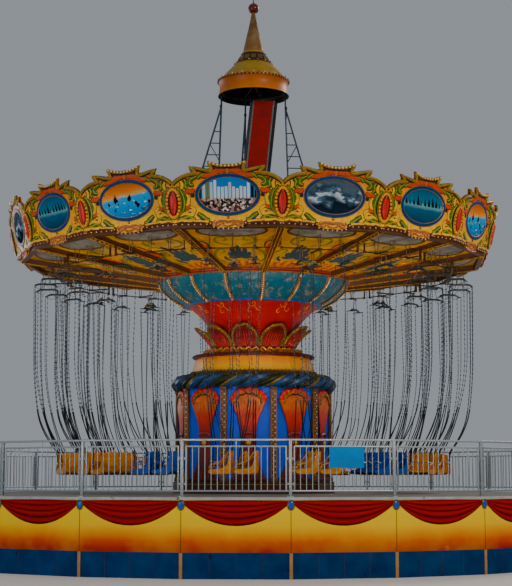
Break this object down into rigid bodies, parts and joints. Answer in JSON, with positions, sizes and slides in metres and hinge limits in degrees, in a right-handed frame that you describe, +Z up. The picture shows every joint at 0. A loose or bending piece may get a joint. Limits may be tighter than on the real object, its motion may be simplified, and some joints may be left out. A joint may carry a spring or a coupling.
{
  "type": "chair swing ride",
  "caption": "Fairground chair swing: a round railed deck, an ornate column, and a tilting, lifting canopy from which chairs hang on chains.",
  "frame": {"origin": "on the ground, on the ride's vertical axis, at the centre of the deck", "axes": "+Z up, -Y towards the front seen in the picture, +X to its right"},
  "size_m": [15.257, 15.257, 13.42],
  "materials": {
    "deck_plate": "matt, worn",
    "wall_paint": "painted swags, satin",
    "fence_steel": "galvanised",
    "board_blue": "satin",
    "plinth_red": "satin",
    "drum_blue": "satin",
    "fan_orange": "gloss",
    "valance_blue": "gloss",
    "band_yellow": "gloss",
    "plate_maroon": "satin",
    "leaf_gold": "gloss",
    "mast_red": "gloss",
    "rail_black": "satin",
    "machine_steel": "machined",
    "sweep_brown": "satin",
    "ceiling_yellow": "painted, gloss",
    "roof_cloth_brown": "satin",
    "rounding_board": "painted, gloss",
    "bowl_teal": "gloss",
    "cone_red": "gloss",
    "frame_blue": "satin",
    "crown_orange": "gloss",
    "spire_gold": "gloss",
    "ball_red": "gloss",
    "chairs": "gloss"
  },
  "bodies": {
    "base": {"deck": "deck_plate", "wall": "wall_paint", "fence_01": "fence_steel", "fence_02": "fence_steel", "fence_03": "fence_steel", "fence_04": "fence_steel", "fence_05": "fence_steel", "fence_06": "fence_steel", "fence_07": "fence_steel", "fence_08": "fence_steel", "fence_09": "fence_steel", "fence_10": "fence_steel", "fence_11": "fence_steel", "fence_12": "fence_steel", "hanging_board": "board_blue", "plinth": "plinth_red", "drum": "drum_blue", "fans_and_pilasters": "fan_orange", "valance": "valance_blue", "upper_band": "band_yellow", "crown_plate": "plate_maroon", "leaf_crown": "leaf_gold"},
    "mast": {"mast": "mast_red", "left_mast_rail": "fence_steel", "right_mast_rail": "rail_black"},
    "carriage": {"carriage": "machine_steel"},
    "tilt_ring": {"tilt_ring": "machine_steel"},
    "canopy": {"sweep_frame": "sweep_brown", "ceiling": "ceiling_yellow", "roof": "roof_cloth_brown", "front_rounding_boards": "rounding_board", "right_rounding_boards": "rounding_board", "back_rounding_boards": "rounding_board", "left_rounding_boards": "rounding_board", "bowl": "bowl_teal", "cone": "cone_red", "crown_frame": "frame_blue", "crown_skirt": "crown_orange", "crown_roof": "crown_orange", "crown_spire": "spire_gold", "finial": "ball_red"},
    "swing_group_01": {"swing_group_01": "chairs"},
    "swing_group_02": {"swing_group_02": "chairs"},
    "swing_group_03": {"swing_group_03": "chairs"},
    "swing_group_04": {"swing_group_04": "chairs"},
    "swing_group_05": {"swing_group_05": "chairs"},
    "swing_group_06": {"swing_group_06": "chairs"},
    "swing_group_07": {"swing_group_07": "chairs"},
    "swing_group_08": {"swing_group_08": "chairs"},
    "swing_group_09": {"swing_group_09": "chairs"},
    "swing_group_10": {"swing_group_10": "chairs"},
    "swing_group_11": {"swing_group_11": "chairs"},
    "swing_group_12": {"swing_group_12": "chairs"},
    "swing_group_13": {"swing_group_13": "chairs"},
    "swing_group_14": {"swing_group_14": "chairs"},
    "swing_group_15": {"swing_group_15": "chairs"},
    "swing_group_16": {"swing_group_16": "chairs"}
  },
  "joints": [
    {"name": "mast_turn", "type": "hinge", "parent": "base", "child": "mast", "pos_m": [0, 0, 1.72], "axis": [0, 0, 1], "continuous": true},
    {"name": "canopy_lift", "type": "slide", "parent": "mast", "child": "carriage", "axis": [0, 0, 1], "range_m": [0, 2.2]},
    {"name": "canopy_tilt", "type": "hinge", "parent": "carriage", "child": "tilt_ring", "pos_m": [0, 0, 6.56], "axis": [0, 1, 0], "range_deg": [0, 6]},
    {"name": "canopy_spin", "type": "hinge", "parent": "tilt_ring", "child": "canopy", "pos_m": [0, 0, 6.56], "axis": [0, 0, 1], "continuous": true},
    {"name": "swing_group_01_swing", "type": "hinge", "parent": "canopy", "child": "swing_group_01", "pos_m": [-2.15719, -4.10015, 6.5], "axis": [-0.885, 0.4656, 0], "range_deg": [-8, 45]},
    {"name": "swing_group_02_swing", "type": "hinge", "parent": "canopy", "child": "swing_group_02", "pos_m": [-0.42393, -4.61356, 6.5], "axis": [-0.9958, 0.0915, 0], "range_deg": [-8, 45]},
    {"name": "swing_group_03_swing", "type": "hinge", "parent": "canopy", "child": "swing_group_03", "pos_m": [1.37388, -4.42461, 6.5], "axis": [-0.955, -0.2965, 0], "range_deg": [-8, 45]},
    {"name": "swing_group_04_swing", "type": "hinge", "parent": "canopy", "child": "swing_group_04", "pos_m": [2.96252, -3.56204, 6.5], "axis": [-0.7688, -0.6394, 0], "range_deg": [-8, 45]},
    {"name": "swing_group_05_swing", "type": "hinge", "parent": "canopy", "child": "swing_group_05", "pos_m": [4.10015, -2.15719, 6.5], "axis": [-0.4656, -0.885, 0], "range_deg": [-8, 45]},
    {"name": "swing_group_06_swing", "type": "hinge", "parent": "canopy", "child": "swing_group_06", "pos_m": [4.61356, -0.42393, 6.5], "axis": [-0.0915, -0.9958, 0], "range_deg": [-8, 45]},
    {"name": "swing_group_07_swing", "type": "hinge", "parent": "canopy", "child": "swing_group_07", "pos_m": [4.42461, 1.37388, 6.5], "axis": [0.2965, -0.955, 0], "range_deg": [-8, 45]},
    {"name": "swing_group_08_swing", "type": "hinge", "parent": "canopy", "child": "swing_group_08", "pos_m": [3.56204, 2.96252, 6.5], "axis": [0.6394, -0.7688, 0], "range_deg": [-8, 45]},
    {"name": "swing_group_09_swing", "type": "hinge", "parent": "canopy", "child": "swing_group_09", "pos_m": [2.15719, 4.10015, 6.5], "axis": [0.885, -0.4656, 0], "range_deg": [-8, 45]},
    {"name": "swing_group_10_swing", "type": "hinge", "parent": "canopy", "child": "swing_group_10", "pos_m": [0.42393, 4.61356, 6.5], "axis": [0.9958, -0.0915, 0], "range_deg": [-8, 45]},
    {"name": "swing_group_11_swing", "type": "hinge", "parent": "canopy", "child": "swing_group_11", "pos_m": [-1.37388, 4.42461, 6.5], "axis": [0.955, 0.2965, 0], "range_deg": [-8, 45]},
    {"name": "swing_group_12_swing", "type": "hinge", "parent": "canopy", "child": "swing_group_12", "pos_m": [-2.96252, 3.56204, 6.5], "axis": [0.7688, 0.6394, 0], "range_deg": [-8, 45]},
    {"name": "swing_group_13_swing", "type": "hinge", "parent": "canopy", "child": "swing_group_13", "pos_m": [-4.10015, 2.15719, 6.5], "axis": [0.4656, 0.885, 0], "range_deg": [-8, 45]},
    {"name": "swing_group_14_swing", "type": "hinge", "parent": "canopy", "child": "swing_group_14", "pos_m": [-4.61356, 0.42393, 6.5], "axis": [0.0915, 0.9958, 0], "range_deg": [-8, 45]},
    {"name": "swing_group_15_swing", "type": "hinge", "parent": "canopy", "child": "swing_group_15", "pos_m": [-4.42461, -1.37388, 6.5], "axis": [-0.2965, 0.955, 0], "range_deg": [-8, 45]},
    {"name": "swing_group_16_swing", "type": "hinge", "parent": "canopy", "child": "swing_group_16", "pos_m": [-3.56204, -2.96252, 6.5], "axis": [-0.6394, 0.7688, 0], "range_deg": [-8, 45]}
  ],
  "couplings": [
    {"joint": "canopy_tilt", "follows": "canopy_lift", "rad_per_m": 0.047598}
  ]
}
